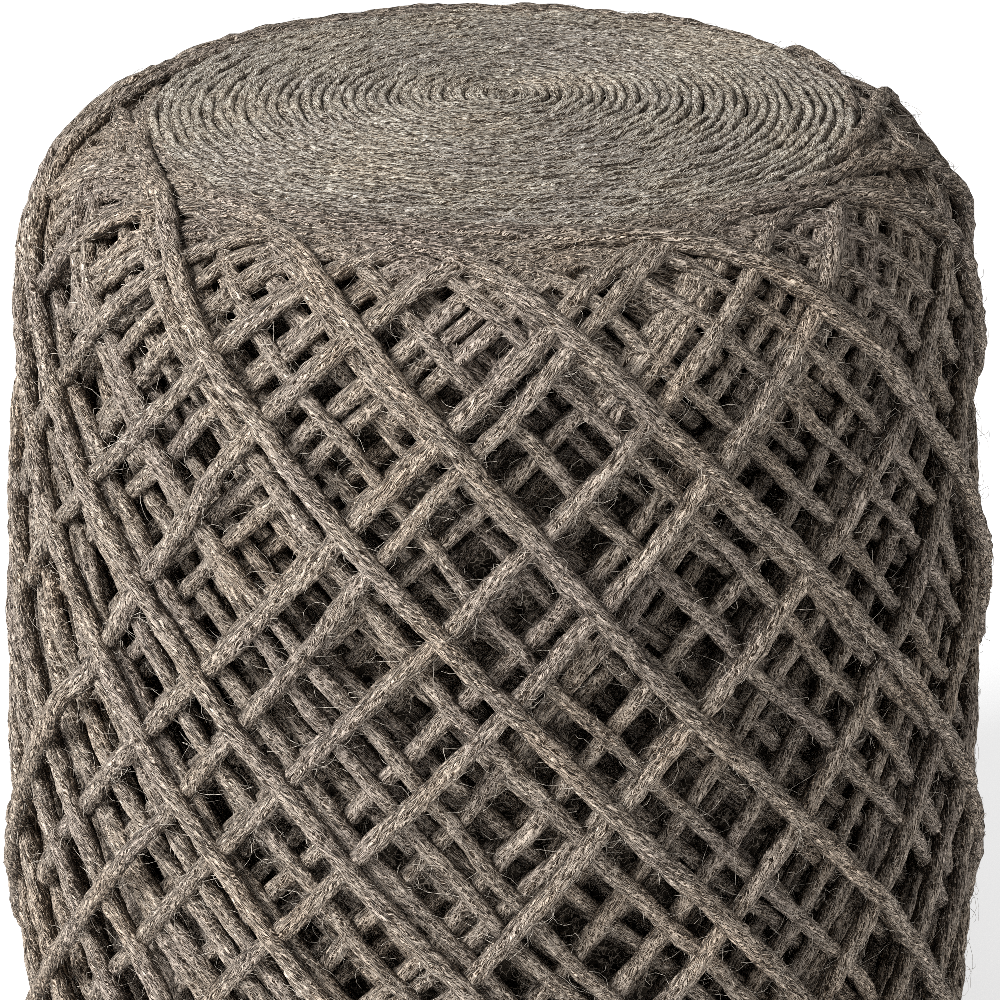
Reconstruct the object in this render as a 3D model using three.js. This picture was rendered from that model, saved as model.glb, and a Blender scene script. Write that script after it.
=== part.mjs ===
// A round pouf wound in thick wool yarn: a filled core, slanting windings crossing over its side,
// and a flat coil of finer yarn that covers the top. Millimetres, +Z up, standing on Z = 0.
import * as THREE from 'three';
import { mergeVertices } from 'three/addons/utils/BufferGeometryUtils.js';

// Overall form, measured over the outermost yarn
const HEIGHT = 490;
const RIM_HEIGHT = 481;
const RIM_RADIUS = 160;
const TOP_SHOULDER_HEIGHT = 68;
const WIDEST_RADIUS = 225;
const WIDEST_HEIGHT = 190;
const SIDE_TAPER = 11.5;
const SIDE_TAPER_REACH = 245;
const BASE_SHOULDER_HEIGHT = 50;
const BASE_RIM_RADIUS = 172;
const BASE_LIFT = 2;

// Yarn and the way it is wound
const YARN_DIAMETER = 9;
const OUTER_GAP = 0.5;
const CORE_GAP = 0.8;
const SEAT_GAP = 0.3;
const WINDING_CONSTANT = 146;
const WINDING_END_RADIUS = 173;
const MIDDLE_HEIGHT = 240;
const YARN_SIDES = 5;
const YARN_STEPS = 28;
const PATH_POINTS = 120;
const MERIDIAN_POINTS = 240;

// Azimuth of each yarn where it passes the middle height, in degrees from the front towards the right
const OUTER_YARN_AZIMUTHS = [-168, -142, -116, -92, -69, -44, -25, 10, 31, 59, 91, 120, 141, 166];
const SECOND_YARN_AZIMUTHS = [-164, -137, -111, -85, -66, -36, -10, 17, 42, 68, 92, 118, 144, 170];

// Ridges of the third winding, raised on the core
const RIDGE_COUNT = 28;
const RIDGE_DEPTH = 8;
const RIDGE_FOOT_ANGLE = 2.6;
const RIDGE_FADE_LENGTH = 30;
const CORE_SIDE_ROWS = 9;
const CORE_SHOULDER_ROWS = 5;

// Coil on top and disc under the base
const COIL_RADIUS = 168;
const COIL_PITCH = 4.85;
const COIL_GROOVE_DEPTH = 2;
const COIL_SEGMENTS = 30;
const DISC_SEGMENTS = 48;
const DISC_EDGE = 3;

const WOOL = { color: 0x6f665c, roughness: 0.95, metalness: 0 };
const DEEP_WOOL = { color: 0x5a524a, roughness: 0.97, metalness: 0 };
const COIL_WOOL = { color: 0x8b8175, roughness: 0.95, metalness: 0 };

const OUTER_INSET = YARN_DIAMETER / 2;
const SECOND_INSET = OUTER_INSET + YARN_DIAMETER + OUTER_GAP;
const CORE_INSET = SECOND_INSET + YARN_DIAMETER / 2 + CORE_GAP;
const FULL_TURN = 2 * Math.PI;

const sideRadius = z => WIDEST_RADIUS - SIDE_TAPER * ((z - WIDEST_HEIGHT) / SIDE_TAPER_REACH) ** 2;

// Points {r, z} of the outline, from the base rim up to the coil, moved inwards by an inset
function outline(inset, shoulderRows, sideRows) {
  const shoulderTop = RIM_HEIGHT - TOP_SHOULDER_HEIGHT;
  const shoulderBase = BASE_LIFT + BASE_SHOULDER_HEIGHT;
  const topReach = sideRadius(shoulderTop) - RIM_RADIUS;
  const baseReach = sideRadius(shoulderBase) - BASE_RIM_RADIUS;
  const points = [];
  const add = (r, z, normalR, normalZ) => {
    const size = Math.hypot(normalR, normalZ);
    points.push({ r: r - inset * normalR / size, z: z - inset * normalZ / size });
  };
  for (let row = 0; row < shoulderRows; row += 1) {
    const turn = Math.PI / 2 * row / shoulderRows;
    const r = BASE_RIM_RADIUS + baseReach * Math.sin(turn);
    const z = shoulderBase - BASE_SHOULDER_HEIGHT * Math.cos(turn);
    add(r, z, Math.sin(turn) / baseReach, -Math.cos(turn) / BASE_SHOULDER_HEIGHT);
  }
  for (let row = 0; row <= sideRows; row += 1) {
    const z = shoulderBase + (shoulderTop - shoulderBase) * row / sideRows;
    const slope = -2 * SIDE_TAPER * (z - WIDEST_HEIGHT) / SIDE_TAPER_REACH ** 2;
    add(sideRadius(z), z, 1, -slope);
  }
  for (let row = 1; row <= shoulderRows; row += 1) {
    const turn = Math.PI / 2 * row / shoulderRows;
    const r = RIM_RADIUS + topReach * Math.cos(turn);
    const z = shoulderTop + TOP_SHOULDER_HEIGHT * Math.sin(turn);
    add(r, z, Math.cos(turn) / topReach, Math.sin(turn) / TOP_SHOULDER_HEIGHT);
  }
  return points;
}

// The azimuth that a winding has gained at each point of an outline, zero at the middle height.
// A yarn pulled tight over a round form keeps radius times the sine of its slant constant.
function windingTurns(points) {
  const turns = [0];
  for (let i = 1; i < points.length; i += 1) {
    const [a, b] = [points[i - 1], points[i]];
    const length = Math.hypot(b.r - a.r, b.z - a.z);
    const radius = (a.r + b.r) / 2;
    const drop = Math.sqrt(Math.max(radius ** 2 - WINDING_CONSTANT ** 2, 1));
    turns.push(turns[i - 1] - WINDING_CONSTANT * length / (radius * drop));
  }
  const middle = points.findIndex(point => point.z >= MIDDLE_HEIGHT);
  return turns.map(turn => turn - turns[middle]);
}

const place = (r, azimuth, z) => new THREE.Vector3(r * Math.sin(azimuth), -r * Math.cos(azimuth), z);

// Drops texture data, joins shared points and leaves out faces that have shrunk to a line
function closedGeometry(geometry) {
  geometry.deleteAttribute('normal');
  geometry.deleteAttribute('uv');
  const merged = mergeVertices(geometry, 1e-3);
  const kept = [];
  const { array } = merged.index;
  for (let i = 0; i < array.length; i += 3) {
    const [a, b, c] = [array[i], array[i + 1], array[i + 2]];
    if (a !== b && b !== c && c !== a) kept.push(a, b, c);
  }
  merged.setIndex(kept);
  merged.computeVertexNormals();
  return merged;
}

function namedMesh(name, geometry, finish) {
  const mesh = new THREE.Mesh(geometry, new THREE.MeshStandardMaterial(finish));
  mesh.name = name;
  return mesh;
}

// A lathe whose points are then set one by one: shape(column, row) gives each its place
function shapedLathe(rows, segments, shape) {
  const profile = Array.from({ length: rows }, (_, row) => new THREE.Vector2(1, row));
  const geometry = new THREE.LatheGeometry(profile, segments);
  const position = geometry.attributes.position;
  for (let column = 0; column <= segments; column += 1) {
    for (let row = 0; row < rows; row += 1) {
      const point = shape(column, row);
      position.setXYZ(column * rows + row, point.x, point.y, point.z);
    }
  }
  return closedGeometry(geometry);
}

// The filled core with the ridges of the winding under the two loose layers
function woundCore() {
  const rim = outline(CORE_INSET, CORE_SHOULDER_ROWS, CORE_SIDE_ROWS);
  const groove = outline(CORE_INSET + RIDGE_DEPTH, CORE_SHOULDER_ROWS, CORE_SIDE_ROWS);
  const turns = windingTurns(rim);
  const last = rim.length - 1;
  const foot = THREE.MathUtils.degToRad(RIDGE_FOOT_ANGLE);
  const samples = [0, foot, FULL_TURN / RIDGE_COUNT - foot];
  const lengths = [0];
  for (let i = 1; i <= last; i += 1) {
    lengths.push(lengths[i - 1] + Math.hypot(rim[i].r - rim[i - 1].r, rim[i].z - rim[i - 1].z));
  }
  const shape = (column, row) => {
    const index = row - 1;
    if (index < 0) return place(0, 0, rim[0].z);
    if (index > last) return place(0, 0, rim[last].z);
    const ridge = Math.floor(column / samples.length);
    const sample = column % samples.length;
    const azimuth = ridge * FULL_TURN / RIDGE_COUNT + samples[sample] + turns[index];
    const fromRim = Math.min(lengths[index], lengths[last] - lengths[index]);
    const fade = sample === 0 ? 0 : Math.min(fromRim / RIDGE_FADE_LENGTH, 1);
    const r = THREE.MathUtils.lerp(rim[index].r, groove[index].r, fade);
    const z = THREE.MathUtils.lerp(rim[index].z, groove[index].z, fade);
    return place(r, azimuth, z);
  };
  const geometry = shapedLathe(rim.length + 2, RIDGE_COUNT * samples.length, shape);
  return namedMesh('wound_core', geometry, DEEP_WOOL);
}

// One yarn laid from the coil down to the base; direction +1 runs down to the right, -1 to the left
function windingYarn(name, inset, direction, azimuthDegrees, finish) {
  const points = outline(inset, MERIDIAN_POINTS / 4, MERIDIAN_POINTS / 2);
  const turns = windingTurns(points);
  const start = THREE.MathUtils.degToRad(azimuthDegrees);
  const route = points
    .map((point, i) => ({ r: point.r, z: point.z, azimuth: start + direction * turns[i] }))
    .filter(point => point.r >= WINDING_END_RADIUS);
  const stride = (route.length - 1) / (PATH_POINTS - 1);
  const knots = Array.from({ length: PATH_POINTS }, (_, i) => {
    const { r, azimuth, z } = route[Math.round(i * stride)];
    return place(r, azimuth, z);
  });
  const section = new THREE.Shape();
  for (let side = 0; side < YARN_SIDES; side += 1) {
    const angle = FULL_TURN * side / YARN_SIDES;
    const corner = [YARN_DIAMETER / 2 * Math.cos(angle), YARN_DIAMETER / 2 * Math.sin(angle)];
    if (side === 0) section.moveTo(...corner);
    else section.lineTo(...corner);
  }
  const geometry = new THREE.ExtrudeGeometry(section, {
    steps: YARN_STEPS,
    extrudePath: new THREE.CatmullRomCurve3(knots),
  });
  return namedMesh(name, closedGeometry(geometry), finish);
}

// The top coil: one groove runs in a spiral from the rim to the centre of a low crown
function topCoil() {
  const under = RIM_HEIGHT - CORE_INSET + SEAT_GAP;
  const lastRing = Math.ceil(2 * COIL_RADIUS / COIL_PITCH);
  const rimTop = outline(0, MERIDIAN_POINTS / 4, 1).findLast(point => point.r >= COIL_RADIUS).z;
  const crown = r => rimTop + (HEIGHT - rimTop) * (1 - (r / COIL_RADIUS) ** 2);
  const shape = (column, row) => {
    const azimuth = FULL_TURN * column / COIL_SEGMENTS;
    if (row === 0) return place(0, 0, under);
    if (row === 1) return place(COIL_RADIUS, azimuth, under);
    const ring = lastRing - (row - 2);
    const r = THREE.MathUtils.clamp((ring / 2 + azimuth / FULL_TURN) * COIL_PITCH, 0, COIL_RADIUS);
    const fade = Math.min(r, COIL_RADIUS - r, COIL_PITCH / 2) / (COIL_PITCH / 2);
    const groove = ring % 2 === 0 ? 0 : COIL_GROOVE_DEPTH * fade;
    return place(r, azimuth, crown(r) - groove);
  };
  return namedMesh('top_coil', shapedLathe(lastRing + 5, COIL_SEGMENTS, shape), COIL_WOOL);
}

// The flat disc under the base that the pouf stands on
function baseDisc() {
  const top = BASE_LIFT + CORE_INSET - SEAT_GAP;
  const profile = [
    [0, 0],
    [COIL_RADIUS - DISC_EDGE, 0],
    [COIL_RADIUS, DISC_EDGE],
    [COIL_RADIUS, top - DISC_EDGE],
    [COIL_RADIUS - DISC_EDGE, top],
    [0, top],
  ].map(([r, z]) => new THREE.Vector2(r, z));
  const geometry = new THREE.LatheGeometry(profile, DISC_SEGMENTS);
  geometry.rotateX(Math.PI / 2);
  return namedMesh('base_disc', closedGeometry(geometry), COIL_WOOL);
}

const pouf = new THREE.Group();
pouf.add(woundCore(), topCoil(), baseDisc());

const twoDigits = index => String(index + 1).padStart(2, '0');
SECOND_YARN_AZIMUTHS.forEach((azimuth, index) => {
  pouf.add(windingYarn(`second_yarn_${twoDigits(index)}`, SECOND_INSET, -1, azimuth, WOOL));
});
OUTER_YARN_AZIMUTHS.forEach((azimuth, index) => {
  pouf.add(windingYarn(`outer_yarn_${twoDigits(index)}`, OUTER_INSET, 1, azimuth, WOOL));
});

export default pouf;
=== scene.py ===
# %% [markdown]
# # A yarn wound pouf
#
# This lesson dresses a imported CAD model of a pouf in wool. The real pouf is a stuffed drum.
# One thick wool roving is coiled flat over its top and then wound round and round its side in
# slanting turns, layer over layer, until the side is a deep open lattice.
# Everything is in metres, and the z axis points up from the floor.

# %% Load the frame
import math

import bpy
import numpy as np
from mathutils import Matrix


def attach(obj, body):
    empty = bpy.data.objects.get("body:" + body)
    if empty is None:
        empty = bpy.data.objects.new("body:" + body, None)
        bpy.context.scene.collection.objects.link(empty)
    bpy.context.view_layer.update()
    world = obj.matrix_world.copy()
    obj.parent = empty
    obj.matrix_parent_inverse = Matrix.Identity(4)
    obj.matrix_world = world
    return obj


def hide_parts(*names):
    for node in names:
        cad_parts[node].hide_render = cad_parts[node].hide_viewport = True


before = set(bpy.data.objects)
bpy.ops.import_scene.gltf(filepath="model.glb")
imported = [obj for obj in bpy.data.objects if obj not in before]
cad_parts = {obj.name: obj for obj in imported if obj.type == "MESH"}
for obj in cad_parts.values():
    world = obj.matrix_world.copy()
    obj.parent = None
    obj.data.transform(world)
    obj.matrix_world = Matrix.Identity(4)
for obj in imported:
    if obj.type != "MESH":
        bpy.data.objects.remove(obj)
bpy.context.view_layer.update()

# %% [markdown]
# ## The camera
#
# The picture was taken from in front and above with a long lens, so the sides hardly converge.
# The sight line meets the middle of the top coil at 17.4 degrees, and the view is centred lower
# down the side. A lens of 210 mm at 2.6 m gives the same outline and the same oval of the top.
# Wool shows hairs finer than a pixel. A denoiser takes them for noise and smears them, so it is
# switched off, and a narrow pixel filter keeps them crisp.

# %% Camera
LENS_MM = 210.1
SENSOR_MM = 36.0
CAMERA_PLACE = (0.0003, -2.481, 1.2675)
CAMERA_DROP = 21.41
PIXEL_FILTER = 0.7

scene = bpy.context.scene
camera_data = bpy.data.cameras.new("camera")
camera_data.lens = LENS_MM
camera_data.sensor_width = SENSOR_MM
camera = bpy.data.objects.new("camera", camera_data)
camera.location = CAMERA_PLACE
camera.rotation_euler = (math.radians(90 - CAMERA_DROP), 0, 0)
scene.collection.objects.link(camera)
scene.camera = camera
scene.view_settings.view_transform = "Standard"
scene.cycles.use_denoising = False
scene.cycles.filter_width = PIXEL_FILTER
print("camera at", CAMERA_PLACE, "with a lens of", LENS_MM, "mm")

# %% [markdown]
# ## The outline of the winding
#
# Every strand lies on a surface of revolution, so one half outline carries them all. It is an
# ellipse quarter at the top, a slightly barrelled side, and a tighter ellipse quarter below.
# It could be drawn by hand, but a formula keeps it even and gives the direction outwards too.

# %% Outline
HEIGHT = 0.490
RIM_HEIGHT = 0.481
RIM_RADIUS = 0.160
TOP_SHOULDER = 0.068
WIDEST_RADIUS = 0.226
WIDEST_HEIGHT = 0.190
SIDE_TAPER = 0.0115
TAPER_REACH = 0.245
BASE_RIM_RADIUS = 0.172
BASE_LIFT = 0.002
BASE_SHOULDER = 0.050
SHOULDER_POINTS = 70
SIDE_POINTS = 140
OUTLINE_POINTS = 500


def side_radius(z):
    return WIDEST_RADIUS - SIDE_TAPER * ((z - WIDEST_HEIGHT) / TAPER_REACH) ** 2


def outer_outline():
    """Points of the half outline from the top rim down to the base rim, and its normals."""
    turn = np.linspace(0, np.pi / 2, SHOULDER_POINTS)
    z_top = RIM_HEIGHT - TOP_SHOULDER
    z_low = BASE_LIFT + BASE_SHOULDER
    r_top, r_low = side_radius(z_top), side_radius(z_low)
    top = np.stack([RIM_RADIUS + (r_top - RIM_RADIUS) * np.sin(turn),
                    z_top + TOP_SHOULDER * np.cos(turn)], 1)
    heights = np.linspace(z_top, z_low, SIDE_POINTS)[1:-1]
    side = np.stack([side_radius(heights), heights], 1)
    base = np.stack([BASE_RIM_RADIUS + (r_low - BASE_RIM_RADIUS) * np.cos(turn),
                     z_low - BASE_SHOULDER * np.sin(turn)], 1)
    line = np.concatenate([top, side, base])
    run = np.concatenate([[0], np.cumsum(np.hypot(*np.diff(line, axis=0).T))])
    even = np.linspace(0, run[-1], OUTLINE_POINTS)
    line = np.stack([np.interp(even, run, line[:, i]) for i in (0, 1)], 1)
    along = np.gradient(line, axis=0)
    normal = np.stack([-along[:, 1], along[:, 0]], 1)
    return line, normal / np.linalg.norm(normal, axis=1)[:, None]


OUTLINE, OUTLINE_NORMAL = outer_outline()
print("outline from", OUTLINE[0], "to", OUTLINE[-1])

# %% [markdown]
# A deeper layer follows the same outline moved inwards. Near both rims the layers are pulled
# tight and lie closer together, which is what the squeeze number says. Closer still to the rims,
# the strands swing round until they run along them.

# %% Layers
YARN_RADIUS = 0.0045
MIDDLE_HEIGHT = 0.240
# where it starts, and how far on it is complete
TOP_PULL = (0.400, RIM_HEIGHT - 0.400)
LOW_PULL = (0.090, 0.088)
TOP_SWING = (0.192, 0.028)
LOW_SWING = (0.196, 0.026)


def smooth(x):
    """Nothing below nought, one above one, and an easy rise between."""
    x = np.clip(x, 0, 1)
    return x * x * (3 - 2 * x)


def rim_shares():
    """How far the layers are pulled together, and how far the strands run along the rim."""
    r, z = OUTLINE[:, 0], OUTLINE[:, 1]
    pull = np.maximum(smooth((z - TOP_PULL[0]) / TOP_PULL[1]),
                      smooth((LOW_PULL[0] - z) / LOW_PULL[1]))
    swing = np.where(z > MIDDLE_HEIGHT, smooth((TOP_SWING[0] - r) / TOP_SWING[1]),
                     smooth((LOW_SWING[0] - r) / LOW_SWING[1]))
    return pull, swing


RIM_PULL, AT_RIM = rim_shares()


def layer_outline(inset, squeeze):
    depth = YARN_RADIUS + (inset - YARN_RADIUS) * (1 - RIM_PULL * (1 - squeeze))
    return OUTLINE - OUTLINE_NORMAL * depth[:, None]


print("widest strand axis at", round(layer_outline(YARN_RADIUS, 1)[:, 0].max(), 4), "m")

# %% [markdown]
# ## The way of a tight strand
#
# A strand that is pulled tight takes the shortest way round: its slant grows as the drum gets
# narrower, so that radius times the sine of the slant stays the same. A hand guides the real
# strand, so each one also wanders slowly off this line.

# %% Tight turn and wander
SLANT_RADIUS = 0.144
STEEPEST_SINE = 0.97
RIM_SINE = 0.985
WAVES = ((0.6, 1.0), (0.4, 0.47))
dice = np.random.default_rng(7)


def wander(length, amplitude, wave):
    """A slow wave round nought, at each of the distances."""
    total = np.zeros_like(length)
    for share, stretch in WAVES:
        phase = dice.uniform(0, 2 * np.pi)
        step = wave * stretch * dice.uniform(0.8, 1.25)
        total += share * np.sin(2 * np.pi * length / step + phase)
    return amplitude * total


def distances(points):
    steps = np.linalg.norm(np.diff(points, axis=0), axis=1)
    return np.concatenate([[0], np.cumsum(steps)])


def tight_turn(line, inset):
    """The angle gone round the drum at each point of a layer's outline, and the steps down it."""
    r, z = line[:, 0], line[:, 1]
    slant = SLANT_RADIUS * math.sqrt((WIDEST_RADIUS - inset) / (WIDEST_RADIUS - YARN_RADIUS))
    sine = np.minimum(slant / r, STEEPEST_SINE)
    sine = sine + (RIM_SINE - sine) * AT_RIM
    ahead = np.hypot(*np.diff(line, axis=0).T)
    pace = sine / np.sqrt(1 - sine ** 2) / r
    turn = np.concatenate([[0], np.cumsum(0.5 * (pace[1:] + pace[:-1]) * ahead)])
    return turn - np.interp(-MIDDLE_HEIGHT, -z, turn), ahead


test_turn = tight_turn(layer_outline(YARN_RADIUS, 1), YARN_RADIUS)[0]
print("a turn goes round by", round(math.degrees(test_turn[-1] - test_turn[0])), "degrees")

# %% [markdown]
# ## The ends and the drift of a turn
#
# A row of three angles says where a strand would cross the middle height if it kept its slant,
# judged at a high, a middle and a low place. At the top the strand goes on round the rim for a
# while before its end is tucked under the coil.

# %% Rim run and drift
ROW_HEIGHTS = (0.150, 0.275, 0.400)
DRIFT_BLEND = 41
RIM_RUN = math.radians(48)
RIM_POINTS = 24
RIM_INWARDS = 0.016
RIM_TUCK = 0.010
TUCK_START = 0.3


def rim_run(r, z, angle, side, turn):
    """The last stretch round the rim, inwards and down under the coil."""
    share = np.linspace(1, 0, RIM_POINTS)[:-1]
    back = angle[0] - side * turn * share
    inwards = r[0] - RIM_INWARDS * share
    down = z[0] - RIM_TUCK * smooth((share - TUCK_START) / (1 - TUCK_START))
    return np.r_[inwards, r], np.r_[down, z], np.r_[back, angle]


def row_drift(row, z):
    """The row's angle at each height, without a kink."""
    high, middle, low = row
    drift = np.interp(z, ROW_HEIGHTS, (low, middle, high))
    edge = DRIFT_BLEND // 2
    return np.convolve(np.pad(drift, edge, "edge"), np.ones(DRIFT_BLEND) / DRIFT_BLEND, "valid")


print("the run round the rim ends", RIM_TUCK, "m below it")

# %% [markdown]
# ## The path of one turn
#
# The turn is made up of its tight line, its drift, a slow wander to the sides and off the drum,
# and its run round the rim. A strand that was wound last can also be lifted off the others
# between two heights. The points are then spread evenly along the path, and the strand is given
# a thickness that swells and shrinks along it.

# %% Winding path
# amplitude and wave
SIDE_WANDER = (0.0012, 0.13)
LIFT_WANDER = (0.0009, 0.10)
YARN_SWELLS = ((0.06, 0.06), (0.05, 0.021))
RIM_CALM = 0.8
THINNER = 0.09
THICKER = 0.06
OVER_LIFT = 0.0100
OVER_BLEND = 0.020


def swelling(length, waves):
    """Uneven thickness along a strand, from (amplitude, wave) pairs."""
    swell = np.ones_like(length)
    for amplitude, wave in waves:
        swell = swell + wander(length, amplitude, wave)
    return swell


def winding(row, side, inset, squeeze, spacing, loose=1.0, rim_turn=0.0, over=None):
    """Points of one turn from rim to rim, and how thick it is at each."""
    line = layer_outline(inset, squeeze)
    r, z = line[:, 0], line[:, 1]
    turn, ahead = tight_turn(line, inset)
    length = np.concatenate([[0], np.cumsum(np.hypot(ahead, np.diff(turn) * r[1:]))])
    calm = 1 - RIM_CALM * AT_RIM
    turn = turn + wander(length, SIDE_WANDER[0] * loose, SIDE_WANDER[1]) * calm / r
    lift = wander(length, LIFT_WANDER[0] * loose, LIFT_WANDER[1]) * calm
    if over:
        lowest, highest = over
        rise = smooth((z - lowest) / OVER_BLEND) * smooth((highest - z) / OVER_BLEND)
        lift = lift + OVER_LIFT * rise
    angle = np.radians(row_drift(row, z)) + side * turn
    r = r + OUTLINE_NORMAL[:, 0] * lift
    z = z + OUTLINE_NORMAL[:, 1] * lift
    if rim_turn > 0:
        r, z, angle = rim_run(r, z, angle, side, rim_turn)
    points = np.stack([r * np.sin(angle), -r * np.cos(angle), z], 1)
    length = distances(points)
    even = np.linspace(0, length[-1], max(8, int(length[-1] / spacing)))
    points = np.stack([np.interp(even, length, points[:, i]) for i in range(3)], 1)
    swell = swelling(even, YARN_SWELLS)
    return points, swell * dice.uniform(1 - THINNER * loose, 1 + THICKER * loose)


test_points, test_swell = winding((0, 0, 0), 1, YARN_RADIUS, 1, 0.004)
print("a turn has", len(test_points), "points and swells to", round(test_swell.max(), 2))

# %% [markdown]
# ## Helpers for pieces
#
# An operator acts on all that is selected, so a new piece is always selected alone. When its
# shape is there, doubled vertices are merged and the faces turned outwards, which leaves one
# closed skin.

# %% Piece helpers


def deselect():
    for item in bpy.context.selected_objects:
        item.select_set(False)


def in_scene(name, data):
    """A new object with that data, alone selected and active."""
    piece = bpy.data.objects.new(name, data)
    scene.collection.objects.link(piece)
    deselect()
    piece.select_set(True)
    bpy.context.view_layer.objects.active = piece
    return piece


def close_skin(threshold):
    """Merges the doubles of the active mesh and turns its faces outwards."""
    bpy.ops.object.mode_set(mode="EDIT")
    bpy.ops.mesh.select_all(action="SELECT")
    bpy.ops.mesh.remove_doubles(threshold=threshold)
    bpy.ops.mesh.normals_make_consistent(inside=False)
    bpy.ops.object.mode_set(mode="OBJECT")


# %% [markdown]
# ## From a path to a strand
#
# A curve with a round bevel is the natural start for yarn: a poly spline for each turn, the
# thickness in its points, and caps at its ends. Converted to a mesh it also brings a UV map,
# along the strand and round it. Here u is made the way round and v the way along in real
# metres, so that fibres have the same size on a short strand and a long one, and each strand
# starts at its own place in the pattern. Blender puts the caps of all strands first, the last
# strand's before the others, and then the tubes.

# %% Strand curve and map
PATTERN_REACH = 8.0


def strand_curve(name, runs, radius, resolution):
    """A curve with one round and capped spline for each (points, thickness) pair."""
    curve = bpy.data.curves.new(name, "CURVE")
    curve.dimensions = "3D"
    curve.bevel_depth = radius
    curve.bevel_resolution = resolution
    curve.use_fill_caps = True
    for points, swell in runs:
        spline = curve.splines.new("POLY")
        spline.points.add(len(points) - 1)
        spline.points.foreach_set("co", np.c_[points, np.ones(len(points))].ravel())
        spline.points.foreach_set("radius", swell)
    return curve


def strand_of_each(mesh, runs, sides):
    """The number of the strand that each vertex belongs to."""
    order = np.arange(len(runs))
    rings = [len(points) * sides for points, _ in runs]
    owner = np.concatenate([np.repeat(order[::-1], 2 * sides), np.repeat(order, rings)])
    if len(owner) != len(mesh.vertices):
        raise ValueError(f"{mesh.name}: {len(owner)} vertices expected, {len(mesh.vertices)} made")
    return owner


def yarn_map(mesh, runs, sides):
    """Makes u go once round the strand and v run along it in metres."""
    lengths = np.array([distances(points)[-1] for points, _ in runs])
    starts = dice.uniform(0, PATTERN_REACH, len(runs))
    corner = np.zeros(len(mesh.loops), np.int32)
    mesh.loops.foreach_get("vertex_index", corner)
    layer = mesh.uv_layers[0]
    layer.name = "Yarn"
    uv = np.zeros(len(mesh.loops) * 2, np.float32)
    layer.data.foreach_get("uv", uv)
    uv = uv.reshape(-1, 2)
    whose = strand_of_each(mesh, runs, sides)[corner]
    along = uv[:, 0] * lengths[whose] + starts[whose]
    layer.data.foreach_set("uv", np.stack([uv[:, 1], along], 1).astype(np.float32).ravel())
    return lengths.sum()


print("patterns start within", PATTERN_REACH, "m")

# %% [markdown]
# The caps are merged with the tubes, so that each strand is one closed shape, and a cloudy
# displacement makes it lumpy, because roving is never quite round. What would reach into the
# floor is pressed flat on it.

# %% Strand maker
LUMPS = bpy.data.textures.new("roving_lumps", "CLOUDS")
LUMPS.noise_scale = 0.007
LUMPS.noise_depth = 1
FLOOR_CLEARANCE = 0.0002


def press_on_floor(mesh):
    place = np.zeros(len(mesh.vertices) * 3)
    mesh.vertices.foreach_get("co", place)
    place[2::3] = np.maximum(place[2::3], FLOOR_CLEARANCE)
    mesh.vertices.foreach_set("co", place)


def strands(name, runs, radius, resolution, lumpy=0.5):
    """One mesh of many closed strands. runs holds (points, thickness) pairs."""
    piece = in_scene(name, strand_curve(name, runs, radius, resolution))
    bpy.ops.object.convert(target="MESH")
    total = yarn_map(piece.data, runs, 4 + 2 * resolution)
    close_skin(1e-6)
    lumps = piece.modifiers.new("lumps", "DISPLACE")
    lumps.texture = LUMPS
    lumps.texture_coords = "LOCAL"
    lumps.strength = radius * lumpy
    bpy.ops.object.modifier_apply(modifier=lumps.name)
    press_on_floor(piece.data)
    bpy.ops.object.shade_smooth()
    faces = sum(len(f.vertices) - 2 for f in piece.data.polygons)
    print(name, len(runs), "strands,", faces, "triangles,", round(total, 1), "m")
    return piece


print("lumps of about", round(LUMPS.noise_scale, 4), "m")

# %% [markdown]
# ## The outer winding
#
# These are the strands on top of all others. They run down to the right and are the boldest
# lines of the picture. The rows hold the high, middle and low angle of each, in degrees round
# the drum from the front, and those behind are guessed to be as uneven.

# %% Outer winding
OUTER_STRANDS = [
    # high, middle, low
    (-169, -168, -166), (-140, -142, -143), (-116, -116, -113), (-97, -98, -97),
    (-81, -81, -79.5), (-70.5, -70.5, -68.5), (-48.5, -44, -42), (-33.5, -26, -22.5),
    (9, 11.5, 12.5), (32.5, 29.5, 32.5), (58, 59, 61), (90.5, 92, 92),
    (121, 120, 117), (138, 141, 142), (167, 166, 163)]
SPACING = 0.0045
OUTER_FULLNESS = 1.06
OUTER_LOOSE = 0.8
outer_runs = [winding(row, 1, YARN_RADIUS, 1, SPACING, OUTER_LOOSE, RIM_RUN)
              for row in OUTER_STRANDS]
outer_winding = strands("outer_winding", outer_runs, YARN_RADIUS * OUTER_FULLNESS, 3)

# %% [markdown]
# ## The second winding
#
# Just under the outer strands lie those that run the other way, down to the left. They touch
# the outer ones from below at nearly every crossing, and between two outer strands they are seen
# as short rungs. Two of them were wound last at the left and come out over the outer strands for
# a while. The second table names their rows and the heights between which they do so.

# %% Second winding
SECOND_STRANDS = [
    # high, middle, low
    (-165, -164, -162), (-136, -137, -139), (-118, -119, -117), (-100.5, -101, -101),
    (-81, -85.5, -85.5), (-68, -61.5, -57), (-46, -46, -48.5), (-41, -36.5, -33.5),
    (-23, -25, -25), (-8.5, -9, -10), (23.5, 15, 15.5), (47, 43.5, 42.5),
    (71.5, 71.5, 68.5), (90, 88, 86), (103, 104, 102), (119, 118, 115),
    (131, 131, 129), (146, 145, 147), (172, 170, 171)]
OVER_PLACES = {5: (0.040, 0.262), 7: (0.050, 0.214)}
SECOND_INSET = 0.0092
SECOND_SQUEEZE = 0.7
SECOND_FULLNESS = 1.02
SECOND_RIM_RUN = math.radians(14)
second_runs = [winding(row, -1, SECOND_INSET, SECOND_SQUEEZE, SPACING, 1.0, SECOND_RIM_RUN,
                       OVER_PLACES.get(i)) for i, row in enumerate(SECOND_STRANDS)]
second_winding = strands("second_winding", second_runs, YARN_RADIUS * SECOND_FULLNESS, 3)

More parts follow.
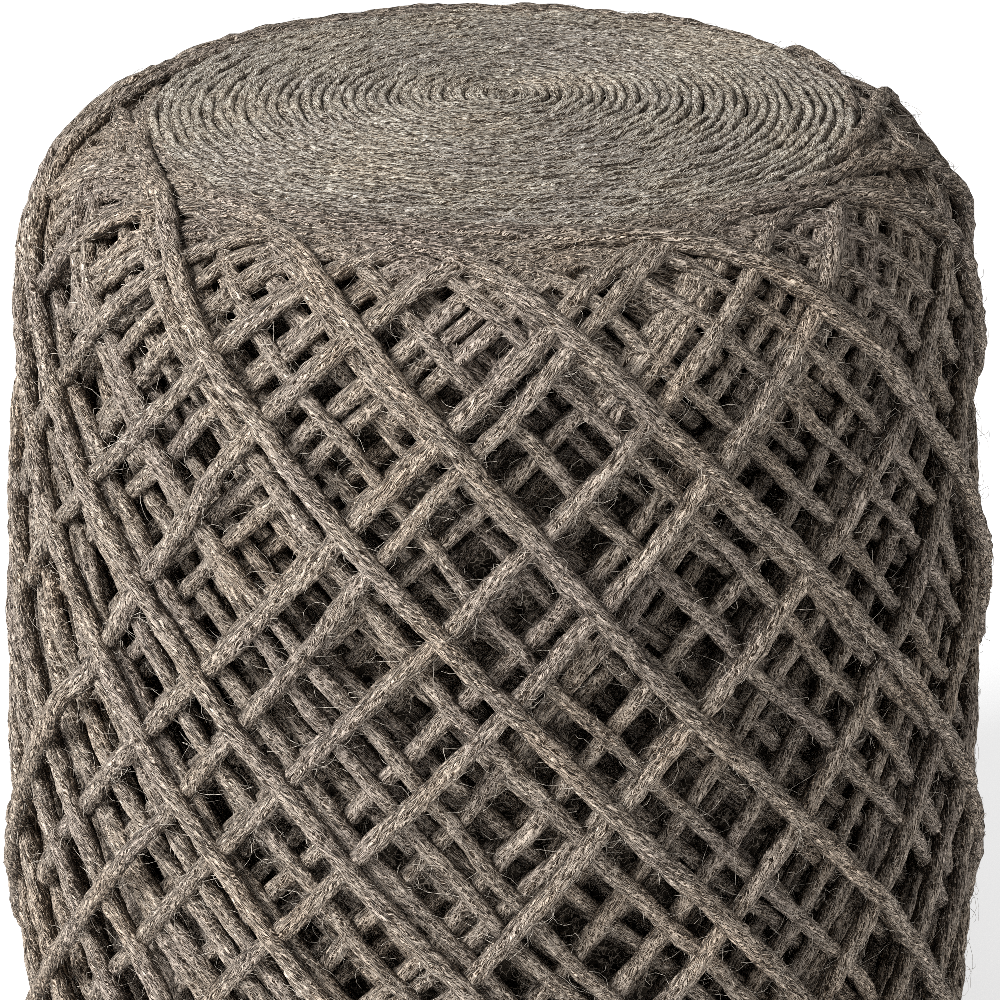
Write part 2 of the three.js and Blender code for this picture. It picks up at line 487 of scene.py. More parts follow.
# %% [markdown]
# ## The deeper windings
#
# The lattice is open enough to show several more layers in its shade, and these hold twice as
# many turns. Where a row of angles leaves a wide gap, further turns are spread in it with an
# uneven hand.

# %% Rows of the deeper windings
THIRD_STRANDS = [
    # high, middle, low
    (-76.5, -76.5, -62), (-64.5, -62, -55), (-35.5, -35.5, -33.5), (-30, -23, -22),
    (-15, -7.5, -10.5), (6, 5, 4.5), (21, 18.5, 20), (32.5, 31.5, 32), (44, 42.5, 45),
    (55, 51.5, 50.5), (60, 58, 61), (79, 79, 81.5), (87.5, 86.5, 86.5), (113, 114, 114)]
FOURTH_STRANDS = [
    # high, middle, low
    (-114.5, -114.5, -114.5), (-93.5, -98, -98), (-79.5, -81.5, -81.5), (-65.5, -68, -68),
    (-61.5, -60, -60), (-36, -38, -38), (-13.5, -15, -13.5), (-7, -4, 1), (9.5, 6, 10.5),
    (33, 25, 29), (38, 36.5, 38.5), (61, 60, 59.5), (80, 76, 70)]
UNEVEN_GAP = 0.13
UNEVEN_DRIFT = 1.5


def filled(rows, spacing):
    """The rows, and uneven ones of about that spacing wherever there is a wider gap."""
    rows = sorted(rows, key=lambda row: row[1])
    middles = [row[1] for row in rows]
    for start, end in zip(middles, middles[1:] + [middles[0] + 360]):
        gap = end - start
        count = max(0, round(gap / spacing) - 1)
        for i in range(count):
            angle = start + gap * (i + 1) / (count + 1) + dice.normal(0, UNEVEN_GAP) * spacing
            rows.append((angle + dice.normal(0, UNEVEN_DRIFT), angle,
                         angle + dice.normal(0, UNEVEN_DRIFT)))
    return rows


print("rows by hand:", len(THIRD_STRANDS), "and", len(FOURTH_STRANDS))

# %% [markdown]
# The direction changes from layer to layer. The layers are pressed together, so the step from
# one to the next is less than the thickness of a strand. The deepest ones start from a single
# row and are filled round the whole drum. They get fewer sides, because they are seen through
# gaps.

# %% Deeper windings
DEEP_SQUEEZE = 0.55
DEEP_LOOSE = 1.4
DEEP_FULLNESS = 0.96
DEEP_LAYERS = [
    # name, side, inset, rows, spacing of the fill, step along the strand, roundness
    ("third_winding", 1, 0.0142, THIRD_STRANDS, 9.5, 0.006, 2),
    ("fourth_winding", -1, 0.0200, FOURTH_STRANDS, 9.5, 0.007, 2),
    ("fifth_winding", 1, 0.0260, [(3, 3, 3)], 8.5, 0.009, 1),
    ("sixth_winding", -1, 0.0325, [(8, 8, 8)], 8.5, 0.010, 1),
    ("seventh_winding", 1, 0.0395, [(-2, -2, -2)], 9, 0.014, 1)]
deep_windings = []
deep_runs = []
for name, side, inset, rows, gap, step, roundness in DEEP_LAYERS:
    runs = [winding(row, side, inset, DEEP_SQUEEZE, step, DEEP_LOOSE) for row in filled(rows, gap)]
    deep_runs.append(runs)
    deep_windings.append(strands(name, runs, YARN_RADIUS * DEEP_FULLNESS, roundness))

# %% [markdown]
# ## The turns in the shoulder
#
# All turns come together over the upper shoulder and lie so close there that hardly any gap
# is left. Two more sets of short turns pack that place from below. Each starts at the rim and
# ends out of sight under the others.

# %% Shoulder turns
SHOULDER_STEP = 0.009
SHOULDER_SETS = [
    # side, inset, spacing, lowest height
    (-1, 0.0170, 7.0, 0.405),
    (1, 0.0230, 7.0, 0.398)]
shoulder_runs = []
for side, inset, gap, lowest in SHOULDER_SETS:
    for row in filled([(side, side, side)], gap):
        points, swell = winding(row, side, inset, DEEP_SQUEEZE, SHOULDER_STEP, DEEP_LOOSE)
        upper = points[:, 2] > lowest
        shoulder_runs.append((points[upper], swell[upper]))
shoulder_winding = strands("shoulder_winding", shoulder_runs, YARN_RADIUS, 1)

# %% [markdown]
# ## The stuffed core
#
# Behind the last layer is the stuffed drum itself. Only its shade is ever seen. A half outline
# of points is spun round the z axis, which closes on itself, and its doubles are merged.

# %% Core
CORE_INSET = 0.0455
CORE_SQUEEZE = 0.50
CORE_TOP = [(0, 0.4845), (0.08, 0.482), (0.150, 0.475)]
CORE_BASE = [(0.150, 0.010), (0, 0.007)]
CORE_STEPS = 96


def spun(name, profile, steps):
    """A closed solid of revolution from (radius, height) pairs that start and end on the axis."""
    mesh = bpy.data.meshes.new(name)
    points = [(r, 0, z) for r, z in profile]
    mesh.from_pydata(points, [(i, i + 1) for i in range(len(points) - 1)], [])
    piece = in_scene(name, mesh)
    bpy.ops.object.mode_set(mode="EDIT")
    bpy.ops.mesh.select_all(action="SELECT")
    bpy.ops.mesh.spin(steps=steps, angle=2 * math.pi, center=(0, 0, 0), axis=(0, 0, 1))
    bpy.ops.object.mode_set(mode="OBJECT")
    close_skin(1e-5)
    bpy.ops.object.shade_smooth()
    print(name, len(mesh.polygons), "faces")
    return piece


core_side = [tuple(p) for p in layer_outline(CORE_INSET, CORE_SQUEEZE)[::8]]
stuffed_core = spun("stuffed_core", CORE_TOP + core_side + CORE_BASE, CORE_STEPS)

# %% [markdown]
# ## The coil on top
#
# The strand starts in the middle of the top and is laid turn against turn in a flat spiral that
# is slightly crowned. It is stretched thinner there than on the side. The spiral is one long
# strand, with a little unevenness in its height and spacing.

# %% Top coil
COIL_PITCH = 0.00485
COIL_RADIUS = 0.1600
COIL_STEP = 0.0062
CROWN = 0.009
LARGEST_TURN = math.radians(24)
# amplitude as a share of the pitch, and wave
SPACING_WANDER = (0.15, 0.11)
HEIGHT_WANDER = (0.18, 0.06)
COIL_SWELLS = ((0.07, 0.04), (0.05, 0.017))
COIL_LUMPS = 0.8
coil_tube = COIL_PITCH * 0.60


def spiral(pitch, reach, step, height):
    """Points of a flat spiral from the middle outwards, and how thick it is at each."""
    angle, angles = 0.0, [0.0]
    while pitch * angle / (2 * math.pi) < reach:
        r = max(pitch * angle / (2 * math.pi), 1e-6)
        angle += min(step / r, LARGEST_TURN)
        angles.append(angle)
    angles = np.array(angles)
    r = pitch * angles / (2 * math.pi)
    length = np.concatenate([[0], np.cumsum(np.diff(angles) * r[1:])])
    r = r + wander(length, pitch * SPACING_WANDER[0], SPACING_WANDER[1])
    z = height(r) + wander(length, pitch * HEIGHT_WANDER[0], HEIGHT_WANDER[1])
    points = np.stack([r * np.sin(angles), -r * np.cos(angles), z], 1)
    return points, swelling(length, COIL_SWELLS)


def crowned(r):
    return HEIGHT - coil_tube - CROWN * (r / COIL_RADIUS) ** 2


coil_run = spiral(COIL_PITCH, COIL_RADIUS - coil_tube, COIL_STEP, crowned)
top_coil = strands("top_coil_wool", [coil_run], coil_tube, 3, COIL_LUMPS)

# %% [markdown]
# ## The coil underneath
#
# The pouf stands on the same kind of coil, of full thick strand. It is not in the picture, so it
# is kept plain and flat.

# %% Base coil
BASE_PITCH = 0.0088
BASE_COIL_RADIUS = 0.168
BASE_STEP = 0.009
BASE_AXIS = YARN_RADIUS * 1.2


def level(r):
    return np.full_like(r, BASE_AXIS)


base_run = spiral(BASE_PITCH, BASE_COIL_RADIUS, BASE_STEP, level)
base_coil = strands("base_coil_wool", [base_run], YARN_RADIUS, 1)

# %% [markdown]
# ## Loose fibres
#
# Wool roving is hairy. Short fibres stand off every strand and blur its edge, and longer curly
# ones hang in the gaps. A particle system could grow them, but it would leave nothing in the
# mesh, so they are made here. Each fibre starts on the skin of a strand, and its start also
# needs the direction along the strand and the direction away from it.

# %% Fibre starts
TOP_TURNS_UP = (0.42, 0.06)
UPWARD_SHARE = 0.8
SKIN_DEPTH = 0.92
SPREAD = 2.0


def unit(vectors):
    return vectors / np.linalg.norm(vectors, axis=-1, keepdims=True)


def fibre_starts(runs, radius, count):
    """Places on the outward skin of strands, with the direction along and away from each."""
    sizes = np.array([len(points) for points, _ in runs])
    which = dice.choice(len(runs), count, p=sizes / sizes.sum())
    place = (dice.uniform(0.01, 0.99, count) * (sizes[which] - 2)).astype(int) + 1
    here = np.array([runs[i][0][k] for i, k in zip(which, place)])
    ahead = unit(np.array([runs[i][0][k + 1] - runs[i][0][k - 1] for i, k in zip(which, place)]))
    out = unit(here * (1, 1, 0))
    rise = smooth((here[:, 2] - TOP_TURNS_UP[0]) / TOP_TURNS_UP[1])[:, None]
    out = out * (1 - UPWARD_SHARE * rise) + rise * (0, 0, 1)
    out = unit(out - ahead * (out * ahead).sum(1)[:, None])
    across = np.cross(ahead, out)
    around = dice.uniform(-SPREAD, SPREAD, count)[:, None]
    skin = np.cos(around) * out + np.sin(around) * across
    return here + skin * radius * SKIN_DEPTH, ahead, skin


print("fibres start at", SKIN_DEPTH, "of the radius of a strand")

# %% [markdown]
# A fibre leaves the skin at a low angle and bends as it goes, a little differently at each step.
# It may stand only so far off the strand, and no fibre reaches past the outline by more than a
# millimetre.

# %% Fibre paths
FIBRE_REACH = 0.0010
LOWEST_FIBRE = 0.001
START_SPREAD = 0.25
BEND_SPREAD = 0.7
STEP_SPREAD = 0.12


def held_back(path, rise):
    """The paths kept near their strands and inside the outline."""
    reach = np.linalg.norm(path[:, :, :2], axis=2)
    limit = np.interp(path[:, :, 2], OUTLINE[::-1, 1], OUTLINE[::-1, 0]) + FIBRE_REACH
    limit = np.minimum(limit, reach[:, :1] + rise)
    path[:, :, :2] *= np.minimum(1, limit / reach)[:, :, None]
    highest = np.minimum(path[:, :1, 2] + rise, HEIGHT + FIBRE_REACH)
    path[:, :, 2] = np.clip(path[:, :, 2], LOWEST_FIBRE, highest)
    return path


def fibres(starts, rings, length, lean, curl, rise):
    """Curly paths that begin at the starts. length, lean and curl are lowest and highest."""
    here, ahead, skin = starts
    count = len(here)
    way = np.where(dice.random(count) < 0.5, -1, 1)[:, None]
    off = dice.uniform(*lean, count)[:, None]
    heading = ahead * way * np.cos(off) + skin * np.sin(off)
    heading = unit(heading + dice.normal(0, START_SPREAD, (count, 3)))
    bend = unit(np.cross(heading, -skin) + dice.normal(0, BEND_SPREAD, (count, 3)))
    step = (dice.uniform(*length, count) / (rings - 1))[:, None]
    rate = dice.uniform(*curl, count)[:, None]
    path = [here]
    for _ in range(rings - 1):
        here = here + heading * step
        path.append(here)
        heading = heading + np.cross(bend, heading) * rate * step
        heading = unit(heading + dice.normal(0, STEP_SPREAD, (count, 3)))
    return held_back(np.stack(path, 1), rise)


print("fibres may stand", FIBRE_REACH, "m off the outline")

# %% [markdown]
# The fibres are three sided tubes about a fifth of a millimetre thick, closed at both ends, and
# all of one kind are one mesh.

# %% Fibre mesh
FIBRE_RADIUS = 0.00010
FIBRE_TAPER = (1.1, 0.55)
CORNERS = (0, 2 * math.pi / 3, 4 * math.pi / 3)
NOT_ALONG = np.array([0.31, 0.17, 0.93])


def fibre_mesh(name, paths, radius):
    """Closed three sided tubes along the paths, thin at their tips."""
    count, rings = paths.shape[:2]
    ahead = unit(np.gradient(paths, axis=1))
    first = unit(np.cross(ahead, NOT_ALONG))
    second = np.cross(ahead, first)
    thick = radius * np.linspace(*FIBRE_TAPER, rings)[None, :, None]
    corners = [paths + thick * (math.cos(a) * first + math.sin(a) * second) for a in CORNERS]
    verts = np.stack(corners, 2).reshape(-1, 3)
    ring = np.arange(rings - 1) * 3
    sides = [np.stack([ring + a, ring + b, ring + b + 3, ring + a + 3], 1)
             for a, b in ((0, 1), (1, 2), (2, 0))]
    base = (np.arange(count) * rings * 3)[:, None]
    quads = (base[:, :, None] + np.concatenate(sides)[None]).reshape(-1, 4)
    caps = np.concatenate([base + [[2, 1, 0]], base + (rings - 1) * 3 + [[0, 1, 2]]])
    mesh = bpy.data.meshes.new(name)
    mesh.from_pydata(verts.tolist(), [], quads.tolist() + caps.tolist())
    mesh.validate()
    print(name, count, "fibres,", len(quads) * 2 + len(caps), "triangles")
    return in_scene(name, mesh)


print("fibres are", 2 * FIBRE_RADIUS, "m thick")

# %% [markdown]
# The short fibres lie along the strands, and most are on the outer two layers, where the light
# finds them. The long ones come from the outer four layers, and thicker lint hangs between the
# fourth and the sixth. On the coil the fibres are short and flat.

# %% Fibre pieces
# kind: rings, length, lean, curl, how far it may stand off
FUZZ = (3, (0.004, 0.010), (0.10, 0.5), (40, 200), 0.0014)
STRAY = (6, (0.010, 0.030), (0.3, 1.3), (60, 230), 0.0050)
COIL_FUZZ = (3, (0.003, 0.009), (0.05, 0.3), (30, 160), 0.0012)
LINT_RADIUS = FIBRE_RADIUS * 1.3
FIBRE_PIECES = [
    # name, kind, fibre radius, strand radius, strands and how many fibres they get
    ("short_fibres", FUZZ, FIBRE_RADIUS, YARN_RADIUS,
     [(outer_runs, 5000), (second_runs, 5500), (deep_runs[0], 3500)]),
    ("stray_fibres", STRAY, FIBRE_RADIUS, YARN_RADIUS,
     [(outer_runs, 300), (second_runs, 2100), (deep_runs[0], 2200), (deep_runs[1], 1500)]),
    ("deep_lint", STRAY, LINT_RADIUS, YARN_RADIUS,
     [(deep_runs[1], 700), (deep_runs[2], 700), (deep_runs[3], 500)]),
    ("coil_fibres", COIL_FUZZ, FIBRE_RADIUS, coil_tube, [([coil_run], 4600)])]
fibre_pieces = {}
for name, kind, thin, radius, sources in FIBRE_PIECES:
    paths = [fibres(fibre_starts(runs, radius, count), *kind) for runs, count in sources]
    fibre_pieces[name] = fibre_mesh(name, np.concatenate(paths), thin)

# %% [markdown]
# ## Helpers for materials
#
# A material is a net of small nodes, and most lines would only add one and set its sockets.
# These helpers do so in one line each. The first ones make a group with its sockets, a math
# node and a vector math node.

# %% Group and math helpers


def new_group(name, inputs, outputs):
    """A node group with its sockets, and the two nodes that hold them."""
    group = bpy.data.node_groups.new(name, "ShaderNodeTree")
    for label, value in inputs.items():
        kind = "NodeSocketVector" if isinstance(value, tuple) else "NodeSocketFloat"
        made = group.interface.new_socket(name=label, in_out="INPUT", socket_type=kind)
        made.default_value = value
    for label in outputs:
        group.interface.new_socket(name=label, in_out="OUTPUT", socket_type="NodeSocketFloat")
    return group, group.nodes.new("NodeGroupInput"), group.nodes.new("NodeGroupOutput")


def calculate(tree, operation, *values):
    """One math node. The values are numbers or other sockets."""
    node = tree.nodes.new("ShaderNodeMath")
    node.operation = operation
    for i, value in enumerate(values):
        if isinstance(value, (int, float)):
            node.inputs[i].default_value = value
        else:
            tree.links.new(value, node.inputs[i])
    return node.outputs[0]


def vector_step(tree, operation, first, *others):
    """One vector math node. After the first socket come plain vectors."""
    node = tree.nodes.new("ShaderNodeVectorMath")
    node.operation = operation
    tree.links.new(first, node.inputs[0])
    for i, value in enumerate(others):
        node.inputs[i + 1].default_value = value
    return node.outputs[0]


print("materials before:", len(bpy.data.materials))

# %% [markdown]
# The others place a noise, a colour ramp or a group, and draw a line of hair, which is one where
# a noise passes a level and nothing away from it. A mix node has sockets of its own for each
# kind of value, and their numbers are kept here.

# %% Node helpers
MIX_SOCKETS = {"VECTOR": (4, 5, 1), "RGBA": (6, 7, 2)}


def noise_at(tree, place, scale, detail=2.0):
    node = tree.nodes.new("ShaderNodeTexNoise")
    node.inputs["Scale"].default_value = scale
    node.inputs["Detail"].default_value = detail
    tree.links.new(place, node.inputs["Vector"])
    return node


def ramp_of(tree, tone, stops):
    """The colours that a ramp of (position, colour) stops gives to the tone."""
    node = tree.nodes.new("ShaderNodeValToRGB")
    elements = node.color_ramp.elements
    elements[0].position = stops[0][0]
    elements[1].position = stops[-1][0]
    for position, _ in stops[1:-1]:
        elements.new(position)
    for element, (_, colour) in zip(elements, stops):
        element.color = (*colour, 1)
    tree.links.new(tone, node.inputs["Fac"])
    return node.outputs["Color"]


def group_in(tree, group, values):
    """A group placed in a tree, with other values for some of its inputs."""
    node = tree.nodes.new("ShaderNodeGroup")
    node.node_tree = group
    for name, value in values.items():
        node.inputs[name].default_value = value
    return node


def hair_line(tree, noise, passed, thin):
    away = calculate(tree, "ABSOLUTE", calculate(tree, "SUBTRACT", noise, passed))
    line = calculate(tree, "SUBTRACT", 1.0, calculate(tree, "DIVIDE", away, thin))
    return calculate(tree, "MAXIMUM", line, 0.0)


print("mix nodes for", *MIX_SOCKETS)

# %% [markdown]
# ## A node group for wool fibres
#
# Under the hairs a strand is a bundle of fibres that run along it with a slight twist. The group
# turns u into an angle and adds the twist along v, and reads a noise on that cylinder, so that
# there is no seam where u starts again. Stretched far more along than across, the noise becomes
# fibres.

# %% Noise on a strand
NOISE_ROUGHNESS = 0.6


def fibre_noise(group, given, parts, twist, across, along, detail, wobble=0.0):
    """A noise on the skin of a strand, so many fibres wide and long."""
    nodes, links = group.nodes, group.links
    angle = calculate(group, "ADD", calculate(group, "MULTIPLY", parts.outputs[0], 2 * math.pi),
                      calculate(group, "MULTIPLY", parts.outputs[1], twist))
    angle = calculate(group, "ADD", angle, wobble)
    place = nodes.new("ShaderNodeCombineXYZ")
    wide = calculate(group, "MULTIPLY", given.outputs["Fibre Width"], across)
    for i, operation in enumerate(("COSINE", "SINE")):
        turned = calculate(group, operation, angle)
        swing = calculate(group, "MULTIPLY", turned, given.outputs["Radius"])
        links.new(calculate(group, "DIVIDE", swing, wide), place.inputs[i])
    long = calculate(group, "MULTIPLY", given.outputs["Fibre Length"], along)
    links.new(calculate(group, "DIVIDE", parts.outputs[1], long), place.inputs[2])
    node = noise_at(group, place.outputs[0], 1.0, detail)
    node.inputs["Roughness"].default_value = NOISE_ROUGHNESS
    return node.outputs["Fac"]


print("noise roughness:", NOISE_ROUGHNESS)

# %% [markdown]
# A slow wobble of the angle bends the fibres, and a coarser noise gathers them into locks.
# Where two more noises pass a level, pale single hairs are drawn, which cross the others at
# small angles, and a third one draws dark gaps between the locks in the same way. Out come a
# tone made of them all, and a height from the fine noise alone, because a bump works out its
# height three times over, and a simple one renders much faster.

# %% Fibre group
LINE_THIN = 0.10
TONE_ENDS = (-0.41, 0.51)
FIBRE_INPUTS = {"Strand": (0.0, 0.0, 0.0), "Radius": YARN_RADIUS, "Twist": 50.0,
                "Fibre Width": 0.00024, "Fibre Length": 0.0048}


def fibre_group():
    group, given, out = new_group("wool_fibres", FIBRE_INPUTS, ("Tone", "Height"))
    nodes, links = group.nodes, group.links
    parts = nodes.new("ShaderNodeSeparateXYZ")
    links.new(given.outputs["Strand"], parts.inputs[0])
    twist = given.outputs["Twist"]
    less = calculate(group, "MULTIPLY", twist, 0.3)
    more = calculate(group, "MULTIPLY", twist, 1.9)
    other = calculate(group, "MULTIPLY", twist, -0.4)

    def streaks(gain, *shape):
        noise = fibre_noise(group, given, parts, *shape)
        return calculate(group, "MULTIPLY", calculate(group, "SUBTRACT", noise, 0.5), gain)

    def hairs(gain, passed, *shape):
        noise = fibre_noise(group, given, parts, *shape)
        return calculate(group, "MULTIPLY", hair_line(group, noise, passed, LINE_THIN), gain)

    # gain, level of a hair, twist, width and length in fibres, detail, wobble
    bent = streaks(0.45, 0.0, 8.0, 1.2, 0.0)
    fine = streaks(4.3, twist, 1.0, 1.0, 1.0, bent)
    locks = streaks(0.6, twist, 5.0, 3.0, 1.0)
    lines = calculate(group, "ADD", hairs(0.4, 0.5, other, 2.4, 2.0, 0.0, bent),
                      hairs(0.4, 0.46, more, 2.4, 1.8, 0.0, bent))
    gaps = hairs(0.7, 0.53, less, 2.2, 2.2, 0.0, bent)
    mixed = calculate(group, "ADD", calculate(group, "ADD", fine, locks), lines)
    mixed = calculate(group, "SUBTRACT", mixed, gaps)
    tone = nodes.new("ShaderNodeMapRange")
    tone.inputs["From Min"].default_value, tone.inputs["From Max"].default_value = TONE_ENDS
    links.new(mixed, tone.inputs["Value"])
    links.new(tone.outputs[0], out.inputs["Tone"])
    links.new(fine, out.inputs["Height"])
    return group


WOOL = fibre_group()
print("fibre group with", len(WOOL.nodes), "nodes")

# %% [markdown]
# ## A node group for painted shade on the flanks of a strand
#
# A strand is given painted shade on its flanks, where it lies against its neighbours and its
# fibres shade each other: the group makes a mask that darkens the colour there. It compares the
# normal with the way out of the pouf. That way is level on the side and leans upwards over the
# shoulder, and for the coil it points straight up.

# %% Painted flank shade group
LEAN_SCALE = (1, 1, 3)
LEAN_START = (0, 0, -1.2)
LEAN_LOWEST = (-1, -1, 0)
FLANK_SHADE_INPUTS = {"Upwards": 0.0, "Crest": 0.6, "Flank": -0.3}


# painted shade: the mask says where the colour is darkened on the flanks of a strand
def flank_shade_group():
    group, given, out = new_group("painted_flank_shade", FLANK_SHADE_INPUTS, ("Mask",))
    nodes, links = group.nodes, group.links
    place = nodes.new("ShaderNodeTexCoord")
    lean = vector_step(group, "MULTIPLY_ADD", place.outputs["Object"], LEAN_SCALE, LEAN_START)
    away = vector_step(group, "NORMALIZE", vector_step(group, "MAXIMUM", lean, LEAN_LOWEST))
    mix = nodes.new("ShaderNodeMix")
    mix.data_type = "VECTOR"
    first, second, outcome = MIX_SOCKETS["VECTOR"]
    links.new(given.outputs["Upwards"], mix.inputs[0])
    links.new(away, mix.inputs[first])
    mix.inputs[second].default_value = (0, 0, 1)
    facing = nodes.new("ShaderNodeVectorMath")
    facing.operation = "DOT_PRODUCT"
    links.new(mix.outputs[outcome], facing.inputs[0])
    links.new(place.outputs["Normal"], facing.inputs[1])
    mask = nodes.new("ShaderNodeMapRange")
    links.new(facing.outputs["Value"], mask.inputs["Value"])
    links.new(given.outputs["Crest"], mask.inputs["From Min"])
    links.new(given.outputs["Flank"], mask.inputs["From Max"])
    links.new(mask.outputs[0], out.inputs["Mask"])
    return group


FLANK_SHADE = flank_shade_group()
print("flank group with", len(FLANK_SHADE.nodes), "nodes")

# %% [markdown]
# ## A node group for lint
#
# Loose hairs also lie on the strands in all directions, far more of them than could be modelled.
# This group draws them where a noise in object space passes a level. The level surfaces of a
# smooth noise are curved sheets, and they cut the skin of a strand in long curly lines. Three
# noises from different places give lines that cross each other.

# %% Lint group
LINT_INPUTS = {"Scale": 180.0, "Thinness": 0.018}
LINT_PLACES = ((0.0, 0.0, 0.0), (3.1, 7.7, 1.3), (9.2, 2.6, 5.4))


def lint_group():
    group, given, out = new_group("lint_hairs", LINT_INPUTS, ("Mask",))
    place = group.nodes.new("ShaderNodeTexCoord")
    mask = 0.0
    for shift in LINT_PLACES:
        moved = vector_step(group, "ADD", place.outputs["Object"], shift)
        noise = noise_at(group, moved, 1.0, 1.0)
        group.links.new(given.outputs["Scale"], noise.inputs["Scale"])
        line = hair_line(group, noise.outputs["Fac"], 0.5, given.outputs["Thinness"])
        mask = calculate(group, "MAXIMUM", line, mask)
    group.links.new(mask, out.inputs["Mask"])
    return group


LINT = lint_group()
print("lint group with", len(LINT.nodes), "nodes")

# %% [markdown]
# ## Wool materials
#
# All strands are the same undyed wool: dark brown, grey brown and cream fibres spun together.
# The painted flank shade is taken off the tone, more in some places than in others, lint is
# added to it, and a ramp turns it into these colours. A slow noise in object space makes some
# places warmer or greyer, as on a real fleece.

# %% Wool tone and tint
UNEVEN_SCALE = 70.0
UNEVEN_ENDS = (0.38, 0.60)
TINT_SCALE = 22.0
TINTS = [
    # position, colour: greyer, olive, warmer
    (0.35, (0.88, 0.86, 0.85)),
    (0.52, (0.97, 0.955, 0.91)),
    (0.66, (1.0, 0.95, 0.875))]


def wool_tone(tree, place, tone, flank_shade, painted_shade_depth, lint):
    """The tone of the fibres with painted shade on the flanks and lint over it."""
    side = group_in(tree, FLANK_SHADE, flank_shade)
    depth = tree.nodes.new("ShaderNodeMapRange")
    uneven = noise_at(tree, place, UNEVEN_SCALE)
    tree.links.new(uneven.outputs["Fac"], depth.inputs["Value"])
    ends = ("From Min", "From Max", "To Min", "To Max")
    for name, value in zip(ends, UNEVEN_ENDS + painted_shade_depth):
        depth.inputs[name].default_value = value
    # painted shade: the flank mask, deeper in some places than in others, is taken off the tone
    shade = calculate(tree, "MULTIPLY", side.outputs["Mask"], depth.outputs[0])
    hair = group_in(tree, LINT, {})
    return calculate(tree, "MULTIPLY_ADD", hair.outputs["Mask"], lint,
                     calculate(tree, "SUBTRACT", tone, shade))


def tinted(tree, place, colour):
    """The colour, warmer or greyer from place to place."""
    drift = noise_at(tree, place, TINT_SCALE)
    mix = tree.nodes.new("ShaderNodeMix")
    mix.data_type = "RGBA"
    mix.blend_type = "MULTIPLY"
    mix.inputs[0].default_value = 1.0
    first, second, outcome = MIX_SOCKETS["RGBA"]
    tree.links.new(colour, mix.inputs[first])
    tree.links.new(ramp_of(tree, drift.outputs["Fac"], TINTS), mix.inputs[second])
    return mix.outputs[outcome]


print("tints:", len(TINTS))

# %% [markdown]
# The deep strands are a little lighter than the outer ones, which makes up for the light that
# real lint scatters into the gaps. The coil is the same roving, but its colours are paler, as
# painted light on the top, and it is felted finer, with shorter fibres and a stronger twist. Its
# painted flank shade falls in the grooves between its turns. Wool is matt, so the roughness is
# high, and a trace of sheen stands for its fuzz.

# %% Wool material
RELIEF = 0.0006
MATT = {"Roughness": 0.88, "Specular IOR Level": 0.12, "Sheen Weight": 0.03,
        "Sheen Roughness": 0.5}
YARN_COLOURS = ((0.016, 0.0095, 0.005), (0.175, 0.130, 0.093), (0.76, 0.655, 0.565))
DEEP_COLOURS = ((0.020, 0.012, 0.007), (0.193, 0.144, 0.103), (0.76, 0.655, 0.565))
# the coil's colours are paler than the yarn's as painted light on the top
COIL_COLOURS_PAINTED_LIGHT = ((0.036, 0.024, 0.014), (0.580, 0.488, 0.390), (1.0, 0.96, 0.88))
COIL_FIBRES = {"Radius": coil_tube, "Twist": 110, "Fibre Width": 0.00025, "Fibre Length": 0.0034}
# painted shade in the grooves between the turns of the coil
COIL_FLANK_SHADE = {"Upwards": 1.0, "Crest": 0.95, "Flank": 0.76}


def new_material(name, values):
    """A material, its tree and its shader, which gets the values."""
    material = bpy.data.materials.new(name)
    material.use_nodes = True
    shader = material.node_tree.nodes["Principled BSDF"]
    for socket_name, value in values.items():
        shader.inputs[socket_name].default_value = value
    return material, material.node_tree, shader


def wool_material(name, colours, painted_shade_depth, lint, bundle, flank_shade):
    material, tree, shader = new_material(name, MATT)
    strand = tree.nodes.new("ShaderNodeUVMap")
    strand.uv_map = "Yarn"
    fibre = group_in(tree, WOOL, bundle)
    tree.links.new(strand.outputs[0], fibre.inputs["Strand"])
    place = tree.nodes.new("ShaderNodeTexCoord").outputs["Object"]
    tone = wool_tone(tree, place, fibre.outputs["Tone"], flank_shade, painted_shade_depth, lint)
    colour = ramp_of(tree, tone, list(zip((0.0, 0.5, 1.0), colours)))
    tree.links.new(tinted(tree, place, colour), shader.inputs["Base Color"])
    relief = tree.nodes.new("ShaderNodeBump")
    relief.inputs["Distance"].default_value = RELIEF
    tree.links.new(fibre.outputs["Height"], relief.inputs["Height"])
    tree.links.new(relief.outputs["Normal"], shader.inputs["Normal"])
    return material


WOOLS = [
    # name, colours, painted shade depth, lint, what is unlike the yarn in fibres and flank shade
    ("yarn_wool", YARN_COLOURS, (0.30, 0.60), 0.7, {}, {}),
    ("deep_wool", DEEP_COLOURS, (0.30, 0.60), 1.0, {}, {}),
    ("coil_wool", COIL_COLOURS_PAINTED_LIGHT, (0.12, 0.42), 0.4, COIL_FIBRES, COIL_FLANK_SHADE)]
yarn_wool, deep_wool, coil_wool = [wool_material(*row) for row in WOOLS]
print("wool materials:", yarn_wool.name, deep_wool.name, coil_wool.name)

# %% [markdown]
# The core is a felt coloured nearly black and dark brown as painted shade, with a soft mottle
# and pale lint on it, and the loose fibres are mostly the cream ones, with darker ones between.
# Where lint lies, the tone goes past the end of the mottle, and the last stop of the ramp is its
# colour.

# %% Core and fibre materials
FELT = {"Roughness": 0.95, "Specular IOR Level": 0.15}
# the near black and dark brown stops are painted shade for the deep gaps, the pale stop is lint
CORE_SHADE_AND_LINT = [(0.35, (0.010, 0.007, 0.005)), (0.65, (0.10, 0.08, 0.06)), (1.0, (0.50, 0.42, 0.34))]
FIBRE_MOTTLE = [(0.36, (0.10, 0.085, 0.07)), (0.60, (0.66, 0.60, 0.52))]


